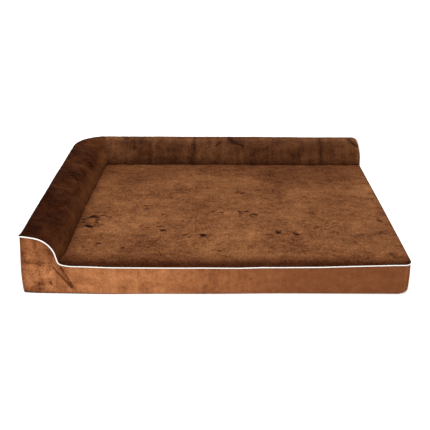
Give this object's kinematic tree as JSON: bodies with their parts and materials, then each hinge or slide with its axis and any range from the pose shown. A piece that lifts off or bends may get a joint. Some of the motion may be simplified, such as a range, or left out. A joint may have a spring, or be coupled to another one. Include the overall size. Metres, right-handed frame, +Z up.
{
  "type": "pet cushion bed",
  "caption": "Foam pet bed with a flat sleeping mattress and an L-shaped bolster along the back and left side, in a piped plush cover closed by a back zipper.",
  "frame": {"origin": "middle of the underside, where the bed rests on the floor", "axes": "+Z up, +X to the right as seen from the open front, +Y towards the back bolster"},
  "size_m": [1.1104, 0.8925, 0.1844],
  "materials": {
    "border_plush": "short-pile plush, copper brown",
    "sleep_plush": "short-pile crushed plush, mid brown",
    "bolster_plush": "short-pile plush, dark brown",
    "piping_white": "smooth woven piping, white",
    "filler_cord": "twisted filler cord",
    "base_foam": "open-cell polyurethane foam",
    "topper_foam": "memory foam",
    "liner_cloth": "coated waterproof lining",
    "lining_cloth": "plain woven lining",
    "grip_cloth": "woven base cloth with grip dots",
    "zipper_tape": "woven zipper tape",
    "zipper_coil": "nylon coil",
    "zipper_metal": "satin painted zinc, dark bronze",
    "label_cloth": "satin label, blank"
  },
  "bodies": {
    "root": {"bottom_panel": "grip_cloth", "front_border": "border_plush", "right_border": "border_plush", "left_border": "border_plush", "back_border_upper": "border_plush", "back_border_lower": "border_plush", "sleep_panel": "sleep_plush", "side_bolster_cover": "bolster_plush", "back_bolster_cover": "bolster_plush", "piping_sleeve": "piping_white", "piping_cord": "filler_cord", "support_foam": "base_foam", "memory_foam_topper": "topper_foam", "mattress_liner": "liner_cloth", "side_bolster_foam": "base_foam", "back_bolster_foam": "base_foam", "bolster_pocket_lining": "lining_cloth", "zipper_tape_upper": "zipper_tape", "zipper_tape_lower": "zipper_tape", "zipper_coil_upper": "zipper_coil", "zipper_coil_lower": "zipper_coil", "zipper_stops": "zipper_metal", "care_label": "label_cloth"},
    "slider": {"zipper_slider": "zipper_metal"},
    "pull": {"zipper_pull": "zipper_metal"}
  },
  "joints": [
    {"name": "zipper_slide", "type": "slide", "parent": "root", "child": "slider", "axis": [-1, 0, 0], "range_m": [0, 0.918]},
    {"name": "pull_hinge", "type": "hinge", "parent": "slider", "child": "pull", "pos_m": [0.5, 0.4452, 0.032], "axis": [0, 0, -1], "range_deg": [0, 180]}
  ]
}
